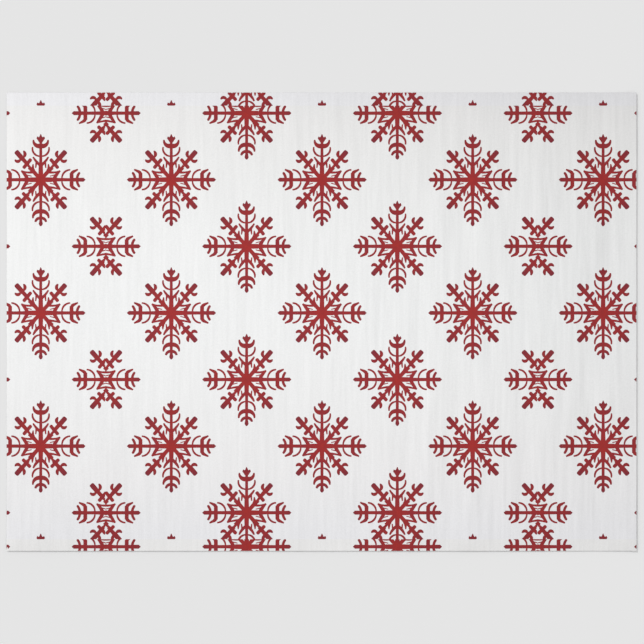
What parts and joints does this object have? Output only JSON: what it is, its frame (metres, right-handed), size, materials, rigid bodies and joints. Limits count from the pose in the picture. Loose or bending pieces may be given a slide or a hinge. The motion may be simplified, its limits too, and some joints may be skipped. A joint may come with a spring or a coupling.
{
  "type": "gift wrapping tissue sheet",
  "caption": "Flat rectangular sheet of white gift-wrapping tissue, printed on its upper face with staggered rows of red snowflakes that the cut edges trim.",
  "frame": {"origin": "centre of the sheet's underside, on the surface that it lies on", "axes": "+X along the long side, +Y along the short side towards the top row of the print, +Z out of the printed face"},
  "size_m": [0.7366, 0.536, 0.0001],
  "materials": {
    "tissue": "matte, faintly cockled white tissue",
    "red_ink": "matte red ink soaked into the tissue"
  },
  "bodies": {
    "root": {"paper_sheet": "tissue", "whole_snowflakes": "red_ink", "side_edge_snowflakes": "red_ink", "seam_snowflakes": "red_ink", "top_row_snowflakes": "red_ink", "bottom_row_snowflakes": "red_ink", "arm_tip_fragments": "red_ink"}
  },
  "joints": []
}
